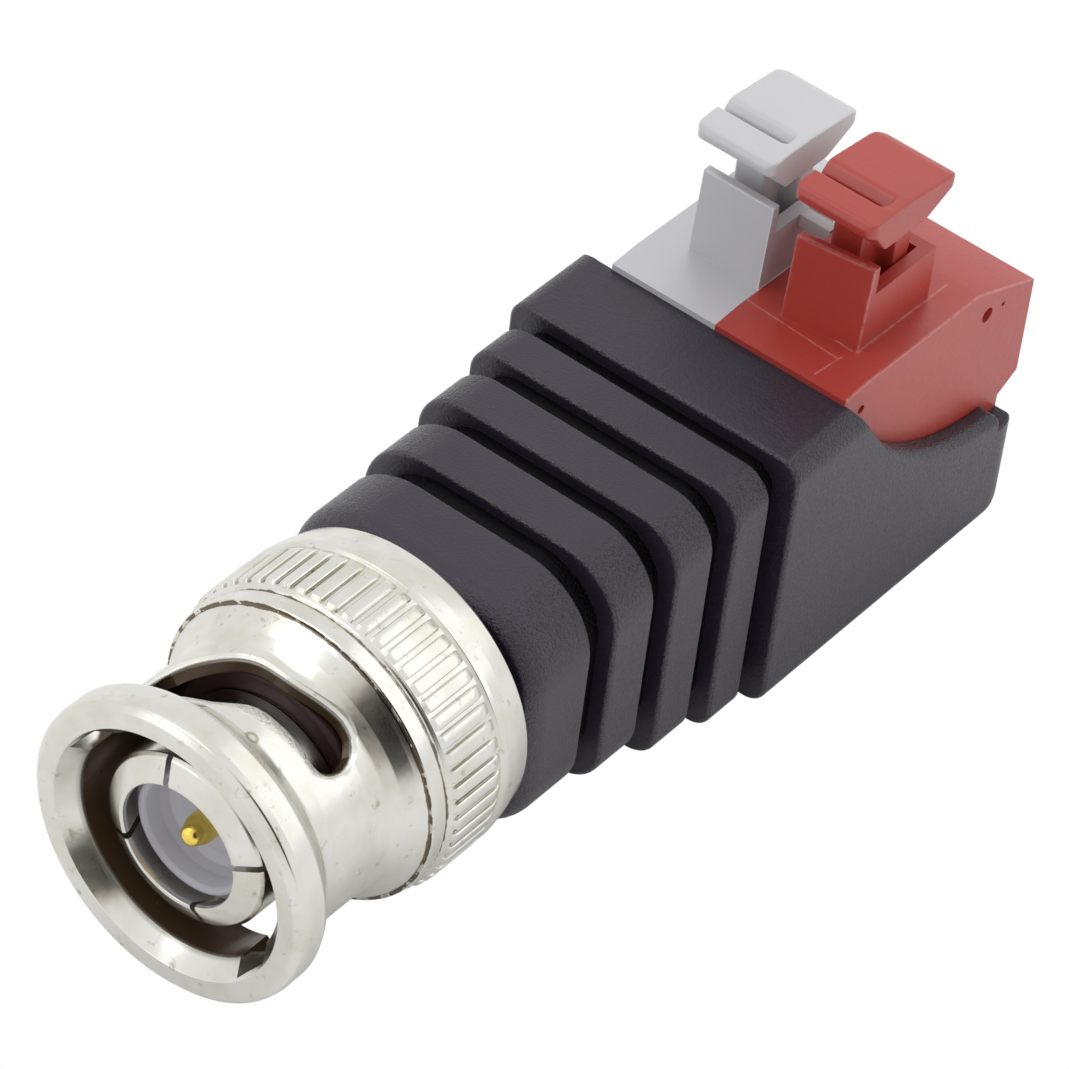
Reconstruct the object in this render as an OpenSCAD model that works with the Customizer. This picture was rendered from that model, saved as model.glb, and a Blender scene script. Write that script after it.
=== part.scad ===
// BNC plug with a two-pole spring terminal.
// Origin: on the axis, at the front shoulder of the outer contact. -Y mating side, +Z levers, +X red pole.

/* [View] */
// which piece is drawn

/* [Coupling nut] */
// outer radius over the knurl
nut_r = 7.3; // [6.8:0.05:7.8]
// radius of the front flange
flange_r = 6.98; // [6.6:0.05:7.6]
// radius of the slotted barrel
barrel_r = 5.9; // [5.8:0.05:6.6]
// bore that takes the socket
bore_r = 5.15; // [4.9:0.05:5.3]
// rear end of the nut
nut_rear = 13.15; // [12:0.05:14]
// teeth of the knurl
knurl_teeth = 56; // [40:1:80]
// depth of the knurl
knurl_depth = 0.25; // [0.1:0.05:0.5]
// width of the bayonet slot
slot_w = 2.1; // [2:0.05:2.4]
// turn of the bayonet from the entry to the seat, degrees
slot_turn = 92; // [80:1:100]

/* [Plug body] */
// outer radius of the slotted contact
contact_r = 4.05; // [3.9:0.01:4.1]
// inner radius of the slotted contact
contact_in = 3.3; // [3.0:0.05:3.6]
// inner radius of the contact's turned-in nose
nose_r = 2.82; // [2.7:0.02:3.2]
// width of the four slots
contact_slot = 0.35; // [0.2:0.05:0.6]
// radius of the centre pin
pin_r = 0.675; // [0.6:0.005:0.7]

/* [Housing] */
// half width of the rear block
half_w = 7.65; // [7:0.05:8.5]
// top of the rear block above the axis
top_z = 5.65; // [5:0.05:7]
// underside of the rear block below the axis
low_z = 8.0; // [7:0.05:9]
// front end of the housing
house_front = 13.5; // [13.3:0.05:15]
// front end of the rear block
block_front = 29.2; // [28:0.05:31]
// rear end of the housing
house_rear = 46.5; // [44:0.05:48]
// thickness of the side walls
wall = 1.05; // [0.8:0.05:1.6]
// depth of the grooves between the ribs
groove_d = 0.65; // [0.4:0.05:1.2]
// radius of the scoop in the side walls
scoop_r = 13.9; // [12:0.1:18]

/* [Terminals] */
// plane between the two poles
split_x = -0.25; // [-1:0.05:1]
// middle of the red pole's lever
red_x = 3.25; // [2.5:0.05:4]
// middle of the grey pole's lever
grey_x = -2.15; // [-3:0.05:-1.5]
// outer width of a lever tower
tower_w = 3.7; // [3:0.05:4.4]
// wall of a lever tower
tower_wall = 0.6; // [0.4:0.05:0.9]
// place of the red tower along the plug
red_shift = -0.3; // [-1:0.05:1]
// place of the grey tower along the plug
grey_shift = 0.1; // [-1:0.05:1]
// height of the tower's side walls
tower_z = 8.75; // [8:0.05:10]
// radius of the wire entry
entry_r = 1.25; // [1:0.05:1.6]
// height of the wire entry
entry_z = 1.3; // [0.5:0.05:2.5]

/* [Levers] */
// width of the paddle
paddle_w = 4.1; // [3.5:0.05:4.6]
// rest tilt of the red lever, rear end down, degrees
red_tilt = 1; // [0:0.5:10]
// rest tilt of the grey lever, rear end down, degrees
grey_tilt = 0; // [0:0.5:10]

/* [Hidden] */
$fn = 64;
mating = -1.2;
pivot = [39.4, 7.6];
floor_z = -low_z + 1;
ceil_z = top_z - 1;
red_side = half_w - wall;
grey_side = -5.75;
block_top = 6.05;
bar_z = -0.35;
pin_neck = pin_r + 0.175;
seat_r = contact_r - 0.2;

// turns a profile of radius and y about the axis
module turned(a = 360) rotate([-90, 0, 0]) rotate_extrude(angle = a) children();

// ring between two radii and two y
module ring(r0, r1, y0, y1) turned() translate([r0, y0]) square([r1 - r0, y1 - y0]);

// solid cylinder along y
module rod(r, y0, y1) translate([0, y0, 0]) rotate([-90, 0, 0]) cylinder(r = r, h = y1 - y0);

// extrudes a y-z profile across x
module across(x0, x1) translate([x0, 0, 0]) rotate([90, 0, 90]) linear_extrude(x1 - x0) children();

// extrudes an x-z outline along y
module along(y0, y1) translate([0, y1, 0]) rotate([90, 0, 0]) linear_extrude(y1 - y0) children();

// box from two corners
module span(a, b) translate(a) cube(b - a);

// rectangle with its own radius at the top and at the bottom corners
module soft_rect(w, b, t, rt, rb) {
    translate([-w + rt, -b]) square([2 * (w - rt), b + t]);
    translate([-w, -b + rb]) square([2 * w, b + t - rt - rb]);
    translate([-w + rb, -b]) square([2 * (w - rb), rb + 0.01]);
    for (x = [-w, w]) {
        translate([x - sign(x) * rt, t - rt]) circle(r = rt);
        translate([x - sign(x) * rb, -b + rb]) circle(r = rb);
    }
}

// bayonet window: angle about the axis, front edge and rear edge
window = [[42.7, 4.1, 4.3], [43.6, 3.8, 4.62], [45, 3.55, 4.88], [47.5, 3.3, 5.1], [50.5, 3.2, 5.28], [54, 3.2, 5.36], [58, 3.25, 5.4], [63, 3.28, 5.33], [68, 3.28, 5.22], [73, 3.25, 5.1], [78, 3.22, 5], [83, 3.15, 4.94], [87, 2.98, 4.92], [90, 2.76, 4.92], [94, 2.45, 4.94], [98, 2.18, 4.94], [103, 2, 4.88], [108, 1.88, 4.75], [113, 1.76, 4.55], [118, 1.66, 4.3], [123, 1.55, 4.05], [128, 1.43, 3.8], [133, 1.3, 3.5], [138, 1.15, 3.15], [143, 1, 2.75], [147, 0.9, 2.4]];
// stretch of the window cut square to the nut at its own middle
module window_part(a, b) {
    mid = (window[a][0] + window[b][0]) / 2;
    rotate([0, -mid, 0]) translate([4.5, 0, 0]) rotate([90, 0, 90]) linear_extrude(2.3)
        polygon(concat([for (i = [a:b]) [window[i][1], 6.3 * tan(window[i][0] - mid)]],
            [for (i = [b:-1:a]) [window[i][2], 6.3 * tan(window[i][0] - mid)]]));
}
module bayonet_window() for (k = [[0, 5], [5, 9], [9, 13], [13, 17], [17, 21], [21, 25]]) window_part(k[0], k[1]);

// axial groove inside the nut that lets a stud in
module stud_entry() rotate([0, -52 - slot_turn + 2, 0])
    span([4.6, mating - 1, -slot_w / 2], [5.62, 3.4, slot_w / 2]);

module coupling_nut() color("silver") difference() {
    union() {
        turned() polygon([[4.6, 1], [bore_r, mating + 0.85], [5.8, mating], [6.6, mating], [6.85, mating + 0.15], [flange_r, mating + 0.45], [flange_r, 0.3], [6.85, 0.55], [6.3, 0.95], [barrel_r + 0.08, 1.5], [barrel_r, 2.2], [barrel_r, 4.7], [6.0, 5.4], [6.25, 6.0], [6.7, 6.7], [6.92, 6.9], [6.97, 7.1], [6.97, 7.75], [6.8, 7.9], [6.8, 8.1], [7.05, 8.2], [7.05, 8.4], [4.6, 8.4]]);
        rotate([-90, 0, 0]) translate([0, 0, 8.35]) linear_extrude(2.75) difference() {
            polygon([for (i = [0:knurl_teeth - 1]) for (k = [[0, -knurl_depth], [0.22, 0], [0.72, 0], [0.94, -knurl_depth]])
                (nut_r + k[1]) * [cos(360 * (i + k[0]) / knurl_teeth), sin(360 * (i + k[0]) / knurl_teeth)]]);
            circle(r = 5.4);
        }
        turned() polygon([[5.4, 11.1], [7.2, 11.1], [7.25, 11.25], [7.15, 12.0], [6.9, 12.95], [6.7, nut_rear], [5.4, nut_rear]]);
    }
    rod(bore_r, -2, 8.1);
    rod(4.06, 0, 10);
    rod(5.4, 9.1, nut_rear + 1);
    for (a = [0, 180]) rotate([0, a, 0]) {
        bayonet_window();
        stud_entry();
    }
}

// height of the wave washer at a step of the turn
function wave(i, n) = 7.39 + 0.2 * sin(3 * 360 * i / n);

module wave_washer() color("lightgrey") {
    n = 48;
    polyhedron(
        points = [for (i = [0:n - 1]) for (k = [[4.2, -0.1], [4.95, -0.1], [4.95, 0.1], [4.2, 0.1]])
            [k[0] * cos(360 * i / n), wave(i, n) + k[1], k[0] * sin(360 * i / n)]],
        faces = [for (i = [0:n - 1]) for (k = [0:3]) for (f = [0, 1]) f == 0
            ? [4 * i + k, 4 * ((i + 1) % n) + k, 4 * ((i + 1) % n) + (k + 1) % 4]
            : [4 * i + k, 4 * ((i + 1) % n) + (k + 1) % 4, 4 * i + (k + 1) % 4]]);
}

module slip_washer() color("lightgrey") ring(4.06, 5.0, 7.72, 8.07);

module retaining_ring() color("lightgrey") rotate([0, 20, 0]) turned(325) translate([3.62, 9.14]) square([1.1, 0.5]);

module sealing_gasket() color("firebrick") turned()
    polygon([[seat_r + 0.01, 5.15], [seat_r + 0.14, 5.0], [4.85, 5.0], [5.0, 5.15], [5.0, 6.25], [seat_r + 0.01, 6.25]]);

module outer_contact() color("silver") difference() {
    union() {
        turned() polygon([[contact_in, 0.75], [nose_r, -0.25], [nose_r + 0.04, -0.42], [nose_r + 0.2, -0.42], [contact_r - 0.15, -0.02], [contact_r, 0.15], [contact_r, 4.9], [seat_r, 4.9], [seat_r, 6.25], [5.0, 6.25], [5.0, 7.05], [4.0, 7.05], [4.0, 9.12], [3.6, 9.12], [3.6, 9.66], [4.0, 9.66], [4.0, 14.3], [4.8, 14.3], [4.8, 16.3], [3.4, 16.3], [3.4, 17.0], [2.9, 17.0], [2.9, 13.2], [contact_in, 13.2]]);
    }
    for (a = [18, 108, 198, 288]) rotate([0, -a, 0]) span([2.5, -1, -contact_slot / 2], [4.6, 4.4, contact_slot / 2]);
}

module insulator() color("white") turned()
    polygon([[pin_neck, 1.9], [1.9, 1.9], [2.25, 1.7], [2.42, 1.3], [2.5, 0.55], [2.58, 0.42], [2.74, 0.4], [2.95, 0.58], [contact_in, 0.95], [contact_in, 13.2], [1.05, 13.2], [1.05, 6], [pin_neck, 6]]);

module rear_bushing() color("white") turned()
    polygon([[1.05, 13.2], [2.9, 13.2], [2.9, 16.6], [2.6, 16.9], [1.05, 16.9]]);

module centre_pin() color("gold") turned()
    polygon([[0, 0.08], [0.3, 0.12], [0.53, 0.3], [pin_r, 0.65], [pin_r, 1.9], [pin_neck, 1.9], [pin_neck, 6], [1.05, 6], [1.05, 16.9], [0.9, 17.3], [0.9, 18.2], [0, 18.2]]);

// one rib with softened edges: ends, half width, underside, top, corner radii, length of the front and rear rounding, its depth
module rib(y0, y1, w, b, t, rt, rb, f = 0.3, s = 0.3, d = 0.3) {
    $fn = 32;
    hull() {
        along(y0 + f, y1 - s) soft_rect(w, b, t, rt, rb);
        along(y0, y1) soft_rect(w - d, b - d, t - d, rt, rb);
    }
}

// ribs of the strain relief: front, rear, half width, underside, top, upper and lower corner radius, front rounding
ribs = [[house_front, 17.3, 6.5, 5.93, 5.8, 3.6, 2.9, 1.2], [18.65, 21.15, 6.68, 6.18, 5.72, 3.05, 2.1, 0.2], [22.32, 24.68, 6.9, 6.92, 5.7, 2.25, 1.4, 0.2], [25.92, 28.1, 7.13, 7.5, 5.6, 1.5, 1.0, 0.2]];

module housing_outer() {
    for (r = ribs) {
        rib(r[0], r[1], r[2], r[3], r[4], r[5], r[6], r[7], 0.15, 0.15 + r[7] / 3);
        along(r[0] + 2, (r == ribs[3] ? block_front : r[1] + 1.3) + 0.8)
            soft_rect(r[2] - groove_d, r[3] - groove_d, r[4] - groove_d, r[5] - groove_d / 2, r[6] - groove_d / 2);
    }
    difference() {
        rib(block_front, house_rear, half_w, low_z, top_z, 1.0, 1.0, 0.2, 0.3, 0.25);
        for (s = [-1, 1]) translate([s * (half_w - wall / 2 + 0.5), 45.85, top_z + 6.75]) rotate([0, 90, 0])
            cylinder(r = scoop_r, h = wall + 1.1, center = true, $fn = 160);
        span([-half_w, 45.2, -2.4], [half_w, 50, 20]);
    }
}

module housing() color("#333333") difference() {
    housing_outer();
    rod(4.0, 13, 14.35);
    rod(4.8, 14.3, 16.3);
    rod(3.4, 16.25, 17.6);
    along(16.9, 30.6) soft_rect(4.4, 3.6, 3.2, 1.5, 1.5);
    along(30.5, 45.2) translate([-red_side, floor_z]) square([2 * red_side, ceil_z - floor_z]);
    span([-red_side, 33.6, 0], [red_side, 45.2, 20]);
}

// side profile of one terminal half
module block_profile() polygon([[33.65, block_top - 0.1], [35.3, block_top], [43.3, block_top - 0.2], [47.7, 4.1], [47.7, -1.05], [46.4, -1.75], [46.4, -2.4], [45.2, -2.4], [45.2, floor_z], [32, floor_z], [32, ceil_z], [33.65, ceil_z]]);

// tower, lever shaft, wire channel and clamp chamber of one half
module terminal(x0, x1, xc, shift, skew) {
    t = tower_w / 2;
    difference() {
        union() {
            across(x0, x1) block_profile();
            span([xc - t, 36.95 + shift, 5], [xc + t, 41.8 + shift, tower_z]);
            hull() for (s = [-1, 1]) translate([xc + s * (t - 0.2), shift + skew * s, 0]) {
                span([-0.2, 36.55, 5], [0.2, 37.15, 5.5]);
                span([-0.2, 36.85, 9.8], [0.2, 37.25, 10.25]);
            }
        }
        span([xc - t + tower_wall, 37.35 + shift, bar_z + 3.6], [xc + t - tower_wall, 41.2 + shift, 20]);
        span([xc - 1.25, 35.6, bar_z], [xc + 1.25, 42.6, bar_z + 3.7]);
        translate([xc, 0, entry_z]) {
            rod(entry_r, 43.7, 48);
            rod(1.0, 42, 44);
        }
        translate([xc, pivot[0] + shift, pivot[1]]) rotate([0, 90, 0]) cylinder(r = 0.5, h = tower_w - 0.5, center = true, $fn = 32);
        span([xc - 1.25, 31, bar_z - 0.5], [xc + 1.25, 42.6, bar_z + 0.01]);
        span([xc - 1.25, 31, bar_z - 0.5], [xc + 1.25, 33, bar_z + 1]);
    }
}

module terminal_block_red() color("#a5443c") difference() {
    terminal(split_x, red_side, red_x, red_shift, 0.25);
    for (p = [[44.2, 4.2, 0.28], [35.0, 4.65, 0.22], [45.4, 4.1, 0.12]])
        translate([red_side - 0.35, p[0], p[1]]) rotate([0, 90, 0]) cylinder(r = p[2], h = 1, $fn = 24);
}

module terminal_block_grey() color("#b8b8bc") {
    terminal(grey_side, split_x, grey_x, grey_shift, 0);
    span([grey_x + tower_w / 2 - 0.2, 39.1, tower_z - 0.65], [red_x - tower_w / 2 - 0.12, 39.7, tower_z - 0.05]);
}

// lever with its paddle level, about the pivot at the origin
module lever_shape() {
    w = paddle_w / 2;
    intersection() {
        difference() {
            across(-w, w) polygon([[-3.5, 5.3], [-3.3, 5.58], [-1.9, 5.62], [-1.55, 5.1], [-1.1, 5.5], [-0.9, 5.58], [2.2, 5.28], [2.62, 5.12], [2.78, 4.85], [2.66, 4.6], [0.7, 3.7], [-2.2, 3.75], [-3.0, 4.75], [-3.45, 4.9]]);
        }
        hull() {
            translate([0, 0, 3]) for (s = [-1, 1]) {
                translate([s > 0 ? w - 0.5 : -w + 0.8, s > 0 ? 2.3 : 1.98, 0]) cylinder(r = s > 0 ? 0.5 : 0.8, h = 4, $fn = 32);
                translate([s * (w - 0.5), -3.0, 0]) cylinder(r = 0.5, h = 4, $fn = 32);
            }
        }
    }
    across(w - 0.55, w) polygon([[-2.2, 5.61], [-2.2, 4.8], [-0.7, 4.8], [-0.7, 5.56]]);
    across(-1.15, 1.15) polygon([[-1.3, 4], [-1.3, -3.7], [-0.9, -4.1], [0.9, -4.1], [1.3, -3.7], [1.3, 3], [2.0, 4]]);
    rotate([0, 90, 0]) cylinder(r = 0.45, h = 3.1, center = true, $fn = 32);
}

module lever_at(xc, shift, tilt) translate([xc, pivot[0] + shift, pivot[1]]) rotate([-tilt, 0, 0]) lever_shape();

module lever_red() color("#c4736c") lever_at(red_x, red_shift, red_tilt);

module lever_grey() color("#d5d5d5") lever_at(grey_x, grey_shift, grey_tilt);

// strip of bent sheet between two points of a profile
module leg(a, b, t) translate(a) rotate(atan2(b[1] - a[1], b[0] - a[0])) translate([0, -t / 2]) square([norm(b - a), t]);

module strip(pts, t) {
    for (i = [0:len(pts) - 2]) leg(pts[i], pts[i + 1], t);
    for (p = pts) translate(p) circle(r = t / 2, $fn = 16);
}

module clamp_spring(xc) color("lightsteelblue") across(xc - 1.0, xc + 1.0)
    strip([[41.8, bar_z + 0.55], [37.4, bar_z + 0.3], [36.2, bar_z + 0.7], [35.9, bar_z + 1.5], [36.3, bar_z + 2.6], [37.1, bar_z + 3.1], [39.6, bar_z + 3.45]], 0.25);

module clamp_spring_red() clamp_spring(red_x);

module clamp_spring_grey() clamp_spring(grey_x);

module contact_bar(xc) color("#c9b98f") {
    span([xc - 1.25, 33, bar_z - 0.5], [xc + 1.25, 42.6, bar_z]);
    span([xc - 0.6, 29.6, bar_z - 0.5], [xc + 0.6, 33, bar_z]);
}

module contact_bar_red() contact_bar(red_x);

module contact_bar_grey() contact_bar(grey_x);

module signal_wire() color("#b03030") {
    $fn = 16;
    r = 0.55;
    y0 = 20.5;
    y1 = 27;
    rod(r, 18.2, y0);
    translate([0, y0, 0]) {
        sphere(r = r);
        rotate([0, 0, -atan2(red_x, y1 - y0)]) rod(r, 0, norm([red_x, y1 - y0]));
    }
    translate([red_x, y1, 0]) sphere(r = r);
    translate([red_x, 0, 0]) rod(r, y1, 29.6);
}

module ground_wire() color("#303030") translate([-3.5, 0, 0]) rod(0.55, 17, 29.6);

coupling_nut();
wave_washer();
slip_washer();
retaining_ring();
sealing_gasket();
outer_contact();
insulator();
rear_bushing();
centre_pin();
housing();
terminal_block_red();
terminal_block_grey();
lever_red();
lever_grey();
clamp_spring_red();
clamp_spring_grey();
contact_bar_red();
contact_bar_grey();
signal_wire();
ground_wire();
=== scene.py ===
import math

import bmesh
import bpy
from mathutils import Matrix, Vector


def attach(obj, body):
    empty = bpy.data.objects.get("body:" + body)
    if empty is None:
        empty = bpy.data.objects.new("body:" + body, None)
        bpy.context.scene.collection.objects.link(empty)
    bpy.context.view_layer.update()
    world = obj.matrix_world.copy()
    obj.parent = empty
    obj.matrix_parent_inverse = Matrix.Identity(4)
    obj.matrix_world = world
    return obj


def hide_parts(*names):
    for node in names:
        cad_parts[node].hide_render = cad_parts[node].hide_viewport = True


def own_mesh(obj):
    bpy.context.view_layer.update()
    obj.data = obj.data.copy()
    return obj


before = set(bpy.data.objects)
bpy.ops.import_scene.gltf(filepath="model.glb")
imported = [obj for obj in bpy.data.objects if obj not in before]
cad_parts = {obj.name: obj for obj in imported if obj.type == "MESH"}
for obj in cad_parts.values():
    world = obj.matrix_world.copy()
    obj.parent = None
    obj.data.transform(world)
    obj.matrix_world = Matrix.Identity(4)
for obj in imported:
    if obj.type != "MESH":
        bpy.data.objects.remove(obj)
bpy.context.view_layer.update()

mm = 0.001


# small helpers

def hexLinear(code):
    # colour code as linear values
    parts = [int(code[i:i + 2], 16) / 255 for i in (1, 3, 5)]
    return tuple(c / 12.92 if c <= 0.04045 else ((c + 0.055) / 1.055) ** 2.4 for c in parts) + (1.0,)


def addNode(tree, kind, inputs=None, **settings):
    node = tree.nodes.new(kind)
    for name, value in settings.items():
        setattr(node, name, value)
    for key, value in (inputs or {}).items():
        if isinstance(value, bpy.types.NodeSocket):
            tree.links.new(value, node.inputs[key])
        else:
            node.inputs[key].default_value = value
    return node


def newMaterial(name):
    material = bpy.data.materials.new(name)
    material.use_nodes = True
    material.node_tree.nodes.clear()
    return material, material.node_tree


def linkObject(name, mesh):
    piece = bpy.data.objects.new(name, mesh)
    bpy.context.scene.collection.objects.link(piece)
    return piece


def bridgeRings(bm, rings, closed=False):
    # quads between each ring of corners and the next, and from the last to the first if closed
    count = len(rings[0])
    for one, two in zip(rings, rings[1:] + (rings[:1] if closed else [])):
        for i in range(count):
            bm.faces.new((one[i], one[(i + 1) % count], two[(i + 1) % count], two[i]))


def solidObject(name, bm):
    # object made of a closed bmesh, with its faces turned outward
    bmesh.ops.recalc_face_normals(bm, faces=bm.faces)
    mesh = bpy.data.meshes.new(name)
    bm.to_mesh(mesh)
    bm.free()
    return linkObject(name, mesh)


def bakeModifiers(piece):
    # evaluated mesh takes the place of the modifiers
    graph = bpy.context.evaluated_depsgraph_get()
    graph.update()
    mesh = bpy.data.meshes.new_from_object(piece.evaluated_get(graph), depsgraph=graph)
    piece.modifiers.clear()
    piece.data = mesh
    return piece


def smoothByAngle(piece, angle=32):
    mesh = piece.data
    mesh.polygons.foreach_set("use_smooth", [True] * len(mesh.polygons))
    mesh.set_sharp_from_angle(angle=math.radians(angle))
    mesh.update()


def finishPiece(piece, material, body, slot, *nodes):
    piece.data.materials.clear()
    piece.data.materials.append(material)
    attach(piece, body)
    if nodes:
        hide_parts(*nodes)
    return piece


def cadCopy(node, name):
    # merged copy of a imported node, with its flat faces made whole again
    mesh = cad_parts[node].data.copy()
    mesh.name = name
    bm = bmesh.new()
    bm.from_mesh(mesh)
    bmesh.ops.remove_doubles(bm, verts=bm.verts, dist=0.0005 * mm)
    bmesh.ops.dissolve_limit(bm, angle_limit=math.radians(0.6), verts=bm.verts, edges=bm.edges)
    bm.normal_update()
    bm.to_mesh(mesh)
    bm.free()
    return linkObject(name, mesh)


def softenEdges(piece, width, segments=2, angle=35):
    bevel = piece.modifiers.new("edges", "BEVEL")
    bevel.width = width * mm
    bevel.segments = segments
    bevel.limit_method = "ANGLE"
    bevel.angle_limit = math.radians(angle)
    bakeModifiers(piece)
    smoothByAngle(piece, 40)
    weighNormals(piece)


def weighNormals(piece):
    # keeps broad flat faces flat beside their rounded edges
    weigh = piece.modifiers.new("normals", "WEIGHTED_NORMAL")
    weigh.mode = "FACE_AREA"
    weigh.weight = 60
    weigh.keep_sharp = True
    bakeModifiers(piece)


def meltEdges(piece, voxel, rounds):
    # fine skin over the piece, relaxed until its edges are as round as a small moulding's
    skin = piece.modifiers.new("skin", "REMESH")
    skin.mode = "VOXEL"
    skin.voxel_size = voxel * mm
    relax = piece.modifiers.new("relax", "SMOOTH")
    relax.factor = 0.5
    relax.iterations = rounds
    bakeModifiers(piece)
    smoothByAngle(piece, 180)


def spotMask(tree, place, centre, radius, soft):
    # 1 within a ball about a point given in millimetres
    reach = addNode(tree, "ShaderNodeVectorMath", {0: place, 1: Vector(centre) * mm}, operation="DISTANCE")
    spot = addNode(tree, "ShaderNodeMapRange", {"Value": reach.outputs["Value"], "From Min": radius * mm,
                                                "From Max": (radius - soft) * mm})
    return spot.outputs["Result"]


def strokeMask(tree, place, start, end, width):
    # 1 along a straight line between two points given in millimetres
    a, b = Vector(start) * mm, Vector(end) * mm
    along = b - a
    fromStart = addNode(tree, "ShaderNodeVectorMath", {0: place, 1: a}, operation="SUBTRACT")
    share = addNode(tree, "ShaderNodeVectorMath", {0: fromStart.outputs[0],
                                                   1: along / along.length_squared},
                    operation="DOT_PRODUCT")
    held = addNode(tree, "ShaderNodeClamp", {"Value": share.outputs["Value"]})
    nearest = addNode(tree, "ShaderNodeVectorMath", {0: along, "Scale": held.outputs[0]}, operation="SCALE")
    reach = addNode(tree, "ShaderNodeVectorMath", {0: fromStart.outputs[0], 1: nearest.outputs[0]},
                    operation="DISTANCE")
    line = addNode(tree, "ShaderNodeMapRange", {"Value": reach.outputs["Value"], "From Min": width * mm,
                                                "From Max": width * 0.4 * mm})
    return line.outputs["Result"]


def either(tree, masks):
    # greatest of several masks
    whole = masks[0]
    for mask in masks[1:]:
        whole = addNode(tree, "ShaderNodeMath", {0: whole, 1: mask}, operation="MAXIMUM").outputs[0]
    return whole


# materials

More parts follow.
